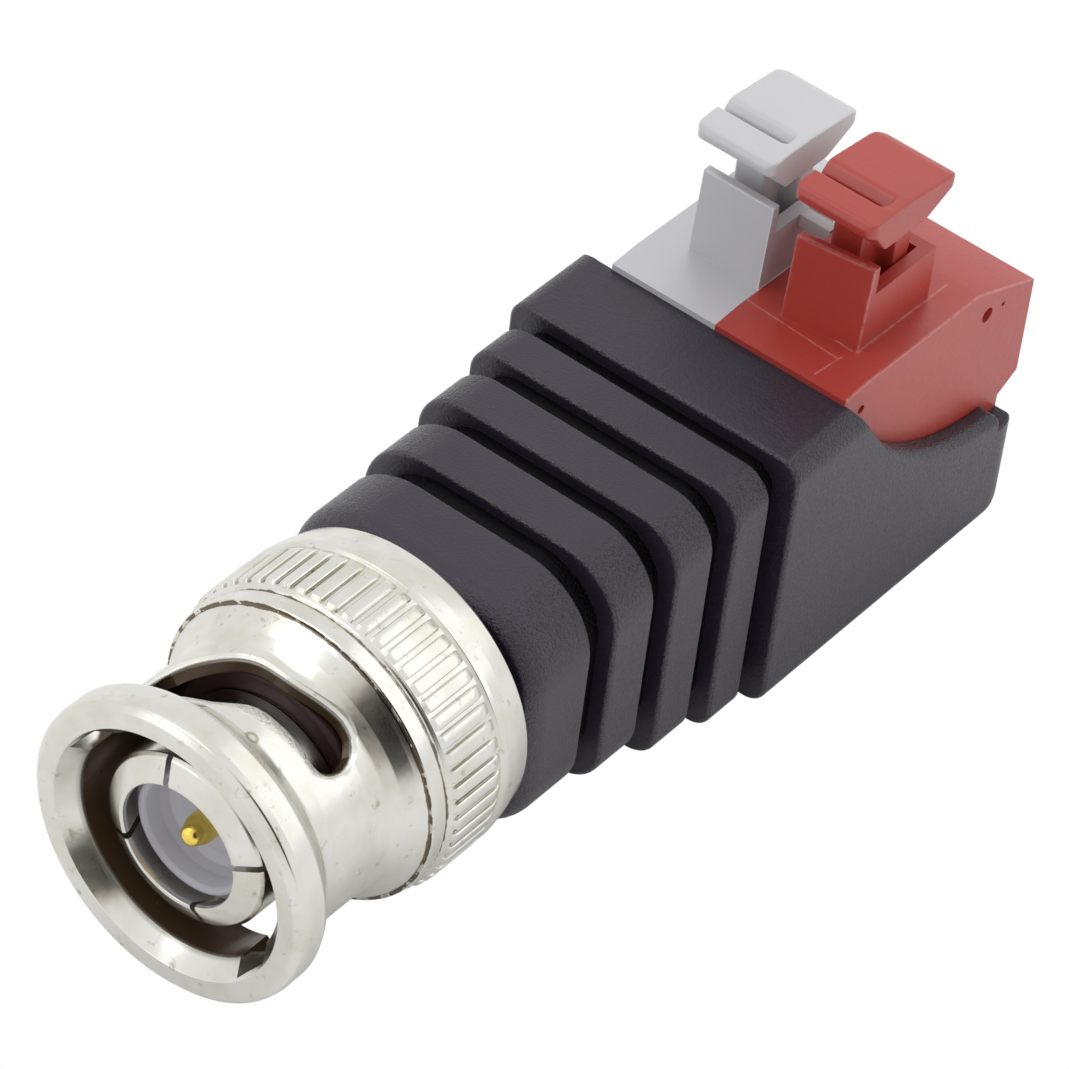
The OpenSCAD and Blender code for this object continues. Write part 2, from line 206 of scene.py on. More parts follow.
def nickelMaterial(name, bore, ring=None, dirtAndGrooveShade=(), worn=()):
    # bright nickel plate over turned brass: a warm white mirror, softened by handling,
    # with small tea-coloured stains, and painted shade in the bore: dark brown and less metallic
    material, tree = newMaterial(name)
    place = addNode(tree, "ShaderNodeTexCoord").outputs["Object"]
    cloud = addNode(tree, "ShaderNodeTexNoise", {"Vector": place, "Scale": 420.0, "Detail": 3.0,
                                                 "Roughness": 0.6})
    cloudRamp = addNode(tree, "ShaderNodeMapRange", {"Value": cloud.outputs["Fac"], "From Min": 0.42,
        "From Max": 0.75})
    specks = addNode(tree, "ShaderNodeTexNoise", {"Vector": place, "Scale": 1500.0, "Detail": 4.0,
                                                  "Roughness": 0.65})
    speckRamp = addNode(tree, "ShaderNodeMapRange", {"Value": specks.outputs["Fac"], "From Min": 0.62,
        "From Max": 0.74, "To Max": 0.8})
    tint = addNode(tree, "ShaderNodeMix", {0: cloudRamp.outputs["Result"], 6: hexLinear("#dddcd7"),
                                           7: hexLinear("#d2cfc1")}, data_type="RGBA")
    stain = addNode(tree, "ShaderNodeMix", {0: speckRamp.outputs["Result"], 6: tint.outputs[2],
                                            7: hexLinear("#a39c86")}, data_type="RGBA")
    parts = addNode(tree, "ShaderNodeSeparateXYZ", {0: place})
    flat = addNode(tree, "ShaderNodeCombineXYZ", {"X": parts.outputs["X"], "Z": parts.outputs["Z"]})
    radius = addNode(tree, "ShaderNodeVectorMath", {0: flat.outputs[0]}, operation="LENGTH")
    # painted shade in the bore: behind the mouth and inside the bore radius the colour turns dark brown and
    # the plate less metallic
    widen = addNode(tree, "ShaderNodeMapRange", {"Value": parts.outputs["Y"], "From Min": 0.2 * mm,
                                                 "From Max": 0.8 * mm, "To Max": 0.36 * mm})
    inner = addNode(tree, "ShaderNodeMath", {0: radius.outputs["Value"], 1: widen.outputs["Result"]},
                    operation="SUBTRACT")
    inside = addNode(tree, "ShaderNodeMapRange", {"Value": inner.outputs[0], "From Min": (bore + 0.25) * mm,
                                                  "From Max": (bore + 0.08) * mm})
    deep = addNode(tree, "ShaderNodeMapRange", {"Value": parts.outputs["Y"], "From Min": -0.5 * mm,
                                                "From Max": -0.15 * mm})
    dark = addNode(tree, "ShaderNodeMath", {0: inside.outputs["Result"], 1: deep.outputs["Result"]},
                   operation="MULTIPLY")
    colour = addNode(tree, "ShaderNodeMix", {0: dark.outputs[0], 6: stain.outputs[2],
                                             7: hexLinear("#4e3c2a")}, data_type="RGBA").outputs[2]
    # brown bands at given lengths along the nut: dirt, and painted shade where a band lies in a groove
    for middle, half, strength in dirtAndGrooveShade:
        off = addNode(tree, "ShaderNodeMath", {0: parts.outputs["Y"], 1: middle * mm}, operation="SUBTRACT")
        away = addNode(tree, "ShaderNodeMath", {0: off.outputs[0]}, operation="ABSOLUTE")
        patchy = addNode(tree, "ShaderNodeMapRange", {"Value": specks.outputs["Fac"], "From Min": 0.3,
            "From Max": 0.6, "To Min": half * mm, "To Max": 0.3 * half * mm})
        band = addNode(tree, "ShaderNodeMath", {0: away.outputs[0], 1: patchy.outputs["Result"]},
                       operation="LESS_THAN")
        faint = addNode(tree, "ShaderNodeMath", {0: band.outputs[0], 1: strength}, operation="MULTIPLY")
        colour = addNode(tree, "ShaderNodeMix", {0: faint.outputs[0], 6: colour, 7: hexLinear("#5e513c")},
                         data_type="RGBA").outputs[2]
    if ring:
        outer, inner = spotMask(tree, place, ring, 0.36, 0.1), spotMask(tree, place, ring, 0.24, 0.12)
        loop = addNode(tree, "ShaderNodeMath", {0: outer, 1: inner}, operation="SUBTRACT", use_clamp=True)
        faint = addNode(tree, "ShaderNodeMath", {0: loop.outputs[0], 1: 0.7}, operation="MULTIPLY")
        colour = addNode(tree, "ShaderNodeMix", {0: faint.outputs[0], 6: colour, 7: hexLinear("#8a7a5c")},
                         data_type="RGBA").outputs[2]
    polish = addNode(tree, "ShaderNodeMapRange", {"Value": cloud.outputs["Fac"], "From Min": 0.3,
                                                  "From Max": 0.8, "To Min": 0.18, "To Max": 0.31})
    bump = addNode(tree, "ShaderNodeBump", {"Height": cloud.outputs["Fac"], "Strength": 0.1,
                                            "Distance": 0.2 * mm})
    roughness = polish.outputs["Result"]
    if worn:
        rubbed = either(tree, [strokeMask(tree, place, a, b, w) for a, b, w in worn])
        roughness = addNode(tree, "ShaderNodeMath", {0: rubbed, 1: 0.16, 2: roughness},
                            operation="MULTIPLY_ADD").outputs[0]
        scratch = addNode(tree, "ShaderNodeTexNoise", {"Vector": place, "Scale": 5200.0, "Detail": 3.0,
            "Roughness": 0.7})
        bump = addNode(tree, "ShaderNodeBump", {"Height": scratch.outputs["Fac"], "Strength": rubbed,
                                                "Distance": 0.3 * mm, "Normal": bump.outputs["Normal"]})
    boreShadeMetallic = addNode(tree, "ShaderNodeMapRange", {"Value": dark.outputs[0], "To Min": 1.0, "To Max": 0.35})
    shader = addNode(tree, "ShaderNodeBsdfPrincipled", {"Base Color": colour,
        "Metallic": boreShadeMetallic.outputs["Result"], "Roughness": roughness, "Normal": bump.outputs["Normal"]})
    addNode(tree, "ShaderNodeOutputMaterial", {"Surface": shader.outputs[0]})
    return material


def goldMaterial():
    # hard gold plate on the pin
    material, tree = newMaterial("goldPlate")
    place = addNode(tree, "ShaderNodeTexCoord")
    rub = addNode(tree, "ShaderNodeTexNoise", {"Vector": place.outputs["Object"], "Scale": 2500.0,
                                               "Detail": 3.0})
    rough = addNode(tree, "ShaderNodeMapRange", {"Value": rub.outputs["Fac"], "To Min": 0.16,
                                                 "To Max": 0.32})
    shader = addNode(tree, "ShaderNodeBsdfPrincipled", {"Base Color": hexLinear("#f0d468"), "Metallic": 1.0,
        "Roughness": rough.outputs["Result"]})
    addNode(tree, "ShaderNodeOutputMaterial", {"Surface": shader.outputs[0]})
    return material


def plasticMaterial(name, main, worn, rough, grain, grainDepth, grainSize, ior=1.53, cornerGrain=0.0,
                    lines=(), lineColour="#000000", lineStrength=0.0, shadedGrooves=(), highlightRims=()):
    # moulded plastic: faint cloudy colour and a grain of the given spacing in millimetres,
    # coarser where the surface turns a corner
    material, tree = newMaterial(name)
    place = addNode(tree, "ShaderNodeTexCoord").outputs["Object"]
    fine = addNode(tree, "ShaderNodeTexNoise", {"Vector": place, "Scale": 1 / (grainSize * mm),
                                                "Detail": 2.0, "Roughness": 0.6})
    broad = addNode(tree, "ShaderNodeTexNoise", {"Vector": place, "Scale": 160.0, "Detail": 3.0,
                                                 "Roughness": 0.55})
    shade = addNode(tree, "ShaderNodeMapRange", {"Value": broad.outputs["Fac"], "From Min": 0.35,
                                                 "From Max": 0.7})
    colour = addNode(tree, "ShaderNodeMix", {0: shade.outputs["Result"], 6: hexLinear(main),
                                             7: hexLinear(worn)}, data_type="RGBA").outputs[2]
    if lines:
        drawn = either(tree, [strokeMask(tree, place, a, b, w) for a, b, w in lines])
        broken = addNode(tree, "ShaderNodeMapRange", {"Value": fine.outputs["Fac"], "From Min": 0.3,
            "From Max": 0.55, "To Min": 0.2 * lineStrength, "To Max": lineStrength})
        faint = addNode(tree, "ShaderNodeMath", {0: drawn, 1: broken.outputs["Result"]},
                        operation="MULTIPLY")
        colour = addNode(tree, "ShaderNodeMix", {0: faint.outputs[0], 6: colour, 7: hexLinear(lineColour)},
                         data_type="RGBA").outputs[2]
    sheen = addNode(tree, "ShaderNodeMapRange", {"Value": fine.outputs["Fac"], "From Min": 0.3,
                                                 "From Max": 0.7, "To Min": rough - grain,
                                                 "To Max": rough + grain})
    depth, roughness, level = grainDepth, sheen.outputs["Result"], 0.5
    if cornerGrain:
        normal = addNode(tree, "ShaderNodeNewGeometry").outputs["True Normal"]
        facing = addNode(tree, "ShaderNodeSeparateXYZ", {0: normal}).outputs
        square = either(tree,
                        [addNode(tree, "ShaderNodeMath", {0: facing[axis]}, operation="ABSOLUTE").outputs[0]
                         for axis in ("X", "Y", "Z")])
        corner = addNode(tree, "ShaderNodeMapRange", {"Value": square, "From Min": 0.995, "From Max": 0.93})
        depth = addNode(tree, "ShaderNodeMapRange", {"Value": corner.outputs["Result"],
            "To Min": grainDepth, "To Max": cornerGrain}).outputs["Result"]
        roughness = addNode(tree, "ShaderNodeMath", {0: corner.outputs["Result"], 1: -0.1, 2: roughness},
                            operation="MULTIPLY_ADD").outputs[0]
    # painted shade: within each groove's length the colour goes nearly black and the specular level drops
    if shadedGrooves:
        length = addNode(tree, "ShaderNodeSeparateXYZ", {0: place}).outputs["Y"]
        bands = []
        for start, end in shadedGrooves:
            off = addNode(tree, "ShaderNodeMath", {0: length, 1: (start + end) / 2 * mm},
                          operation="SUBTRACT")
            away = addNode(tree, "ShaderNodeMath", {0: off.outputs[0]}, operation="ABSOLUTE")
            bands.append(addNode(tree, "ShaderNodeMath", {0: away.outputs[0], 1: (end - start) / 2 * mm},
                                 operation="LESS_THAN").outputs[0])
        deep = either(tree, bands)
        edges = []
        # painted highlights: pale, broken lines along the rib edges at the given lengths
        for rim in highlightRims:
            off = addNode(tree, "ShaderNodeMath", {0: length, 1: rim * mm}, operation="SUBTRACT")
            away = addNode(tree, "ShaderNodeMath", {0: off.outputs[0]}, operation="ABSOLUTE")
            edges.append(addNode(tree, "ShaderNodeMapRange", {"Value": away.outputs[0],
                "From Min": 0.06 * mm, "From Max": 0.01 * mm}).outputs["Result"])
        rubbed = addNode(tree, "ShaderNodeMapRange", {"Value": fine.outputs["Fac"], "From Min": 0.4,
            "From Max": 0.62, "To Max": 0.24})
        faint = addNode(tree, "ShaderNodeMath", {0: either(tree, edges), 1: rubbed.outputs["Result"]},
                        operation="MULTIPLY")
        colour = addNode(tree, "ShaderNodeMix", {0: faint.outputs[0], 6: colour, 7: hexLinear("#867f74")},
                         data_type="RGBA").outputs[2]
        colour = addNode(tree, "ShaderNodeMix", {0: deep, 6: colour, 7: hexLinear("#060508")},
                         data_type="RGBA").outputs[2]
        level = addNode(tree, "ShaderNodeMapRange", {"Value": deep, "To Min": 0.5,
            "To Max": 0.08}).outputs["Result"]
    bump = addNode(tree, "ShaderNodeBump", {"Height": fine.outputs["Fac"], "Strength": depth,
                                            "Distance": grainSize * 0.9 * mm})
    shader = addNode(tree, "ShaderNodeBsdfPrincipled", {"Base Color": colour, "Roughness": roughness,
        "IOR": ior, "Specular IOR Level": level, "Normal": bump.outputs["Normal"]})
    addNode(tree, "ShaderNodeOutputMaterial", {"Surface": shader.outputs[0]})
    return material


def plainMaterial(name, colour, rough, metallic=0.0):
    # even finish for the rubber, sheet metal and wire inside, with a slight unevenness of sheen
    material, tree = newMaterial(name)
    place = addNode(tree, "ShaderNodeTexCoord")
    noise = addNode(tree, "ShaderNodeTexNoise", {"Vector": place.outputs["Object"], "Scale": 900.0,
                                                 "Detail": 2.0})
    roughness = addNode(tree, "ShaderNodeMapRange", {"Value": noise.outputs["Fac"], "To Min": rough - 0.06,
        "To Max": rough + 0.06})
    shader = addNode(tree, "ShaderNodeBsdfPrincipled", {"Base Color": hexLinear(colour),
        "Metallic": metallic, "Roughness": roughness.outputs["Result"]})
    addNode(tree, "ShaderNodeOutputMaterial", {"Surface": shader.outputs[0]})
    return material


# bright nut with painted shade in its bore, brown bands at its shoulder (dirt) and in the groove behind its
# collar (painted shade), and a rubbed rim in front of the window
nickel = nickelMaterial("nickelPlate", 5.15, (1.63, 1.55, 5.67), [(6.9, 0.07, 0.9), (7.84, 0.07, 0.85)],
                        [((3.7, 3.1, 4.4), (2.0, 3.0, 5.4), 0.5), ((2.0, 3.0, 5.4), (0, 2.5, 5.8), 0.5),
                         ((0, 2.5, 5.8), (-2.3, 1.5, 5.3), 0.5)])
# the same plate on the outer contact, without the painted bore shade, the brown bands, the ring stain and the
# rubbed rim
contactNickel = nickelMaterial("contactNickel", 0.0)
# yellow glint deep inside the insulator
gold = goldMaterial()
# satin violet-black with a visible grain, painted shade in the grooves and painted highlights on their rims
blackPlastic = plasticMaterial("blackPolyamide", "#231e2b", "#292432", 0.38, 0.1, 0.25, 0.13, ior=1.54,
                               cornerGrain=1.0,
                               lines=[((7.65, 36.82, -2.49), (7.65, 43.66, -3.25), 0.06),
                                      ((6.45, 17.1, -0.85), (6.45, 16.85, -1.3), 0.4)],
                               lineColour="#060507", lineStrength=0.8,
                               shadedGrooves=[(17.31, 18.64), (21.16, 22.31), (24.69, 25.91), (28.11, 29.19)],
                               highlightRims=[18.72, 22.39, 25.99, 29.27, 21.1, 24.63, 28.05])
# smooth brick red with pale lines on its top and edges: painted highlights along its edges and ridges, partly
# scuff wear
redPlastic = plasticMaterial("redPolyamide", "#a9372e", "#a5362e", 0.38, 0.03, 0.05, 0.3, ior=1.6,
                             lines=[((-0.3, 35.8, 6.04), (4.8, 35.5, 6.04), 0.06),
                                    ((3.16, 36.45, 6.02), (4.93, 36.34, 6.02), 0.06),
                                    ((4.65, 34.1, 5.98), (4.86, 35.7, 6.04), 0.06),
                                    ((5.15, 36.4, 6.04), (5.15, 42.8, 5.86), 0.08),
                                    ((1.4, 36.35, 10.27), (5.1, 36.85, 10.27), 0.16),
                                    ((1.4, 36.3, 10.2), (1.4, 36.05, 5.8), 0.09),
                                    ((5.1, 36.85, 10.2), (5.1, 36.5, 6.0), 0.1),
                                    ((6.6, 33.8, 5.96), (6.6, 35.3, 6.05), 0.12),
                                    ((6.6, 35.3, 6.05), (6.6, 43.3, 5.85), 0.12),
                                    ((6.6, 43.3, 5.85), (6.6, 47.6, 4.14), 0.12)],
                             lineColour="#d39a92", lineStrength=0.4)
# the same red, a little glossier and without lines
redLeverPlastic = plasticMaterial("redLeverPolyamide", "#a9372e", "#a5362e", 0.36, 0.03, 0.05, 0.3, ior=1.6)
# smooth light grey with pale lines on the tower's edges
greyPlastic = plasticMaterial("greyPolyamide", "#c0c0c4", "#babac0", 0.38, 0.03, 0.05, 0.3, ior=1.6,
                              lines=[((-4.0, 36.95, 10.27), (-0.3, 36.95, 10.27), 0.14),
                                     ((-0.3, 36.9, 10.2), (-0.3, 36.65, 6.0), 0.09)],
                              lineColour="#ececf0", lineStrength=0.5)
# a lighter and glossier grey
greyLeverPlastic = plasticMaterial("greyLeverPolyamide", "#c4c4c6", "#bfbfc1", 0.36, 0.03, 0.05, 0.3,
                                   ior=1.6)
# milky bluish grey
ptfe = plasticMaterial("insulatorPolymer", "#bdbdc6", "#b6b6c0", 0.4, 0.04, 0.04, 0.3)
# red rubber, satin, painted dark brown-red for the shade it lies in inside the nut
shadedGasketRubber = plainMaterial("siliconeRubberShaded", "#2a0b08", 0.5)
# grey metal of the springs and washers, half bright
springSteel = plainMaterial("springSteel", "#9a9a98", 0.35, 1.0)
# dull warm grey metal of the contact bars
tinned = plainMaterial("tinnedCopper", "#b9b3a3", 0.4, 1.0)
# even red and even black of the two wires
redSleeve = plainMaterial("redWireSleeve", "#a02020", 0.4)
blackSleeve = plainMaterial("blackWireSleeve", "#1c1c1c", 0.4)
print("materials made")


# coupling nut

nut = {"steps": 224, "barrel": 5.8, "windowTurns": (0, 180), "entryTurn": 145, "entryHalf": 1.05}
# angle about the axis, front edge and rear edge of the bayonet window, in degrees and millimetres
windowEdges = [(42.7, 4.1, 4.3), (43.6, 3.8, 4.62), (45, 3.55, 4.88), (47.5, 3.3, 5.1),
               (50.5, 3.2, 5.28), (54, 3.2, 5.36), (58, 3.25, 5.4), (63, 3.28, 5.33), (68, 3.28, 5.22),
               (73, 3.25, 5.1), (78, 3.22, 5.0), (83, 3.15, 4.94), (87, 2.98, 4.92), (90, 2.76, 4.92),
               (94, 2.45, 4.94), (98, 2.18, 4.94), (103, 2.0, 4.88), (108, 1.88, 4.75),
               (113, 1.76, 4.55), (118, 1.66, 4.3), (123, 1.55, 4.05), (128, 1.43, 3.8), (133, 1.3, 3.5),
               (138, 1.15, 3.15), (143, 1.0, 2.75), (147, 0.9, 2.4)]
# its rounded rim: radius, then how far the front and the rear edge give way there
windowRim = [(4.6, 0.0, 0.0), (5.5, 0.0, 0.0), (5.6, 0.03, 0.0), (5.7, 0.09, 0.0), (5.78, 0.17, 0.03),
             (5.84, 0.27, 0.07), (5.88, 0.38, 0.11), (5.94, 0.56, 0.15), (6.0, 0.74, 0.18), (6.4, 1.3, 0.4)]


def filletLoop(points, steps=4):
    # outline with rounded corners: a point's third number, if any, is its corner's radius
    out = []
    count = len(points)
    for i, point in enumerate(points):
        here = Vector(point[:2])
        radius = point[2] if len(point) > 2 else 0
        if radius <= 0:
            out.append(here)
            continue
        back = Vector(points[i - 1][:2]) - here
        ahead = Vector(points[(i + 1) % count][:2]) - here
        half = back.angle(ahead) / 2
        reach = min(radius / math.tan(half), back.length * 0.49, ahead.length * 0.49)
        a, b = here + back.normalized() * reach, here + ahead.normalized() * reach
        for k in range(steps + 1):
            t = k / steps
            out.append((1 - t) ** 2 * a + 2 * t * (1 - t) * here + t * t * b)
    return out


def lathe(name, outline, steps):
    # turns a closed outline of (radius, y) about the Y axis
    bm = bmesh.new()
    rings = []
    for s in range(steps):
        a = 2 * math.pi * s / steps
        rings.append([bm.verts.new((p.x * math.cos(a) * mm, p.y * mm, p.x * math.sin(a) * mm))
                      for p in outline])
    bridgeRings(bm, rings, closed=True)
    return solidObject(name, bm)


def windowCutter(name, turn):
    # sleeve that cuts the window and rounds its rim, with each stretch between two rows cut into three
    radius = nut["barrel"]
    fine = []
    for i in range(len(windowEdges) - 1):
        for k in range(3):
            t = k / 3
            fine.append([windowEdges[i][j] * (1 - t) + windowEdges[i + 1][j] * t for j in range(3)])
    fine.append(list(windowEdges[-1]))
    front = [Vector((math.radians(a) * radius, y)) for a, y, _ in fine]
    rear = [Vector((math.radians(a) * radius, y)) for a, _, y in fine]
    loop = front + rear[::-1]
    count = len(loop)
    normals = []
    for i in range(count):
        along = loop[(i + 1) % count] - loop[i - 1]
        normals.append(Vector((along.y, -along.x)).normalized())
    bm = bmesh.new()
    rings = []
    for r, frontGive, rearGive in windowRim:
        ring = []
        for p, n in zip(loop, normals):
            share = min(max(0.5 - n.y * 1.2, 0), 1)  # 1 on the front edge, 0 on the rear edge
            q = p + n * (rearGive + (frontGive - rearGive) * share)
            a = q.x / radius + math.radians(turn)
            ring.append(bm.verts.new((r * math.cos(a) * mm, q.y * mm, r * math.sin(a) * mm)))
        rings.append(ring)
    bridgeRings(bm, rings)
    for ring in (rings[0], rings[-1]):
        for i in range(len(fine) - 1):
            bm.faces.new((ring[i], ring[i + 1], ring[count - 2 - i], ring[count - 1 - i]))
    return solidObject(name, bm)


def boxCutter(name, low, high, turn=0):
    bm = bmesh.new()
    bmesh.ops.create_cube(bm, size=1)
    for v in bm.verts:
        v.co = Vector([(low[i] + high[i]) / 2 + v.co[i] * (high[i] - low[i]) for i in range(3)]) * mm
    bmesh.ops.rotate(bm, verts=bm.verts, matrix=Matrix.Rotation(-math.radians(turn), 3, "Y"))
    return solidObject(name, bm)


def cutAway(piece, cutters):
    for cutter in cutters:
        cut = piece.modifiers.new(cutter.name, "BOOLEAN")
        cut.operation = "DIFFERENCE"
        cut.solver = "EXACT"
        cut.object = cutter
    bakeModifiers(piece)
    for cutter in cutters:
        bpy.data.objects.remove(cutter)


nutOutline = filletLoop([
    (5.15, -0.32, 0.12), (5.8, -1.2, 0.08), (6.62, -1.2, 0.14), (6.92, -0.95, 0.2), (6.98, -0.6, 0.2),
                         (6.96, 0.3, 0.15), (6.8, 0.6, 0.15), (6.3, 0.97, 0.5), (5.96, 1.55, 0.6),
    (5.9, 2.3, 0.6), (5.9, 4.7, 0.9), (6.0, 5.4, 0.9), (6.28, 6.05, 0.6), (6.66, 6.66, 0.4),
                         (6.8, 6.93, 0.02), (6.93, 6.93, 0.04), (6.97, 7.0, 0.05), (6.97, 7.72, 0.08),
                         (6.9, 7.79, 0.02), (6.9, 7.87, 0.02), (6.98, 7.92, 0.03), (7.02, 8.0, 0.03),
    (7.08, 8.06, 0.04), (7.1, 11.0, 0.0), (7.24, 11.12, 0.06), (7.25, 11.35, 0.15), (7.15, 12.0, 0.6),
                         (6.92, 12.95, 0.15), (6.72, 13.15, 0.05), (5.4, 13.15), (5.4, 9.1), (4.06, 9.1),
                         (4.06, 8.1), (5.15, 8.1)], 5)
nutShell = lathe("nutShell", nutOutline, nut["steps"])
half = nut["entryHalf"]
cutAway(nutShell, [windowCutter("window%d" % t, t) for t in nut["windowTurns"]]
        + [boxCutter("entry%d" % t, (4.6, -2.2, -half), (5.62, 3.4, half), nut["entryTurn"] + t)
           for t in nut["windowTurns"]])
smoothByAngle(nutShell, 30)
finishPiece(nutShell, nickel, "nut", "nickel", "coupling_nut")

knurl = {"Teeth": 56, "Root Radius": 7.05 * mm, "Tooth Height": 0.22 * mm, "Base Width": 0.86 * mm,
         "Top Width": 0.46 * mm,
         "Front": 8.08 * mm, "Length": 3.1 * mm, "Edge Round": 0.2 * mm, "Front Fade": 0.16 * mm,
         "Rear Fade": 0.7 * mm, "Phase": 0.0}


def knurlTree(material):
    # soft rolled teeth set round the nut: a filleted trapezoid drawn along the axis and sunk at both ends
    tree = bpy.data.node_groups.new("knurlRing", "GeometryNodeTree")
    tree.interface.new_socket("Geometry", in_out="INPUT", socket_type="NodeSocketGeometry")
    tree.interface.new_socket("Geometry", in_out="OUTPUT", socket_type="NodeSocketGeometry")
    for name, value in knurl.items():
        socket = tree.interface.new_socket(name, in_out="INPUT", socket_type="NodeSocketInt"
                                           if isinstance(value, int) else "NodeSocketFloat")
        socket.default_value = value
    given = addNode(tree, "NodeGroupInput").outputs
    middle = addNode(tree, "ShaderNodeMath", {0: given["Tooth Height"], 1: 0.5}, operation="MULTIPLY")
    outline = addNode(tree, "GeometryNodeCurvePrimitiveQuadrilateral", {"Height": given["Tooth Height"],
        "Bottom Width": given["Base Width"], "Top Width": given["Top Width"], "Offset": 0.0},
                      mode="TRAPEZOID")
    soft = addNode(tree, "GeometryNodeFilletCurve", {"Curve": outline.outputs[0],
        "Radius": given["Edge Round"], "Limit Radius": True, "Count": 4}, mode="POLY")
    lift = addNode(tree, "ShaderNodeMath", {0: given["Root Radius"], 1: middle.outputs[0]}, operation="ADD")
    frontEnd = addNode(tree, "ShaderNodeCombineXYZ", {"Y": given["Front"]})
    rear = addNode(tree, "ShaderNodeMath", {0: given["Front"], 1: given["Length"]}, operation="ADD")
    rearEnd = addNode(tree, "ShaderNodeCombineXYZ", {"Y": rear.outputs[0]})
    path = addNode(tree, "GeometryNodeCurvePrimitiveLine", {"Start": frontEnd.outputs[0],
        "End": rearEnd.outputs[0]})
    steps = addNode(tree, "GeometryNodeResampleCurve", {"Curve": path.outputs[0], "Count": 24})
    tooth = addNode(tree, "GeometryNodeCurveToMesh", {"Curve": steps.outputs[0],
        "Profile Curve": soft.outputs[0], "Fill Caps": True})
    where = addNode(tree, "ShaderNodeSeparateXYZ",
                    {0: addNode(tree, "GeometryNodeInputPosition").outputs[0]})
    frontStop = addNode(tree, "ShaderNodeMath", {0: given["Front"], 1: given["Front Fade"]},
                        operation="ADD")
    rearStop = addNode(tree, "ShaderNodeMath", {0: rear.outputs[0], 1: given["Rear Fade"]},
                       operation="SUBTRACT")
    sunkDepth = addNode(tree, "ShaderNodeMath", {0: given["Tooth Height"], 1: -0.9}, operation="MULTIPLY")
    sinkFront = addNode(tree, "ShaderNodeMapRange", {"Value": where.outputs["Y"],
        "From Min": frontStop.outputs[0], "From Max": given["Front"], "To Min": 0.0,
            "To Max": sunkDepth.outputs[0]}, interpolation_type="SMOOTHSTEP")
    sinkRear = addNode(tree, "ShaderNodeMapRange", {"Value": where.outputs["Y"],
                                                    "From Min": rearStop.outputs[0],
                                                    "From Max": rear.outputs[0], "To Min": 0.0,
                                                    "To Max": sunkDepth.outputs[0]},
                       interpolation_type="SMOOTHSTEP")
    sink = addNode(tree, "ShaderNodeMath", {0: sinkFront.outputs["Result"], 1: sinkRear.outputs["Result"]},
                   operation="ADD")
    drop = addNode(tree, "ShaderNodeCombineXYZ", {"Z": sink.outputs[0]})
    faded = addNode(tree, "GeometryNodeSetPosition", {"Geometry": tooth.outputs[0],
        "Offset": drop.outputs[0]})
    outward = addNode(tree, "ShaderNodeCombineXYZ", {"Z": lift.outputs[0]})
    raised = addNode(tree, "GeometryNodeTransform", {"Geometry": faded.outputs[0],
        "Translation": outward.outputs[0]})
    points = addNode(tree, "GeometryNodePoints", {"Count": given["Teeth"]})
    index = addNode(tree, "GeometryNodeInputIndex")
    share = addNode(tree, "ShaderNodeMath", {0: index.outputs[0], 1: given["Teeth"]}, operation="DIVIDE")
    turn = addNode(tree, "ShaderNodeMath", {0: share.outputs[0], 1: 2 * math.pi, 2: given["Phase"]},
                   operation="MULTIPLY_ADD")
    euler = addNode(tree, "ShaderNodeCombineXYZ", {"Y": turn.outputs[0]})
    ring = addNode(tree, "GeometryNodeInstanceOnPoints", {"Points": points.outputs[0],
        "Instance": raised.outputs[0], "Rotation": euler.outputs[0]})
    real = addNode(tree, "GeometryNodeRealizeInstances", {"Geometry": ring.outputs[0]})
    painted = addNode(tree, "GeometryNodeSetMaterial", {"Geometry": real.outputs[0], "Material": material})
    addNode(tree, "NodeGroupOutput", {"Geometry": painted.outputs[0]})
    return tree


def growFrom(name, tree, values):
    # runs a geometry tree on an empty mesh and keeps the plain result
    piece = linkObject(name, bpy.data.meshes.new(name))
    maker = piece.modifiers.new(name, "NODES")
    maker.node_group = tree
    for item in tree.interface.items_tree:
        if item.in_out == "INPUT" and item.name in values:
            maker[item.identifier] = values[item.name]
    return bakeModifiers(piece)


nutKnurl = growFrom("nutKnurl", knurlTree(nickel), knurl)
smoothByAngle(nutKnurl, 30)
finishPiece(nutKnurl, nickel, "nut", "nickel")
print("nut made", len(nutShell.data.polygons), len(nutKnurl.data.polygons))


# plug body

contact = {"slotTurns": (106, -154, -70, 16), "slotHalf": 0.14, "slotFrom": (2.5, -1), "slotTo": (4.6, 4.4),
           "steps": 128}
contactOutline = filletLoop([
    (3.3, 0.75, 0.2), (2.82, -0.25, 0.1), (2.86, -0.42, 0.04), (3.02, -0.42, 0.08), (3.9, -0.02, 0.25),
                             (4.05, 0.15, 0.1), (4.05, 4.9), (3.85, 4.9), (3.85, 6.25), (5.0, 6.25),
                             (5.0, 7.05), (4.0, 7.05), (4.0, 9.12),
    (3.6, 9.12), (3.6, 9.66), (4.0, 9.66), (4.0, 14.3), (4.8, 14.3), (4.8, 16.3), (3.4, 16.3), (3.4, 17.0),
                             (2.9, 17.0), (2.9, 13.2), (3.3, 13.2)])
contactFingers = lathe("contactFingers", contactOutline, contact["steps"])
slotLow, slotHigh = (*contact["slotFrom"], -contact["slotHalf"]), (*contact["slotTo"], contact["slotHalf"])
cutAway(contactFingers, [boxCutter("slot%d" % t, slotLow, slotHigh, t) for t in contact["slotTurns"]])
smoothByAngle(contactFingers, 30)
finishPiece(contactFingers, contactNickel, "plug", "nickel", "outer_contact")

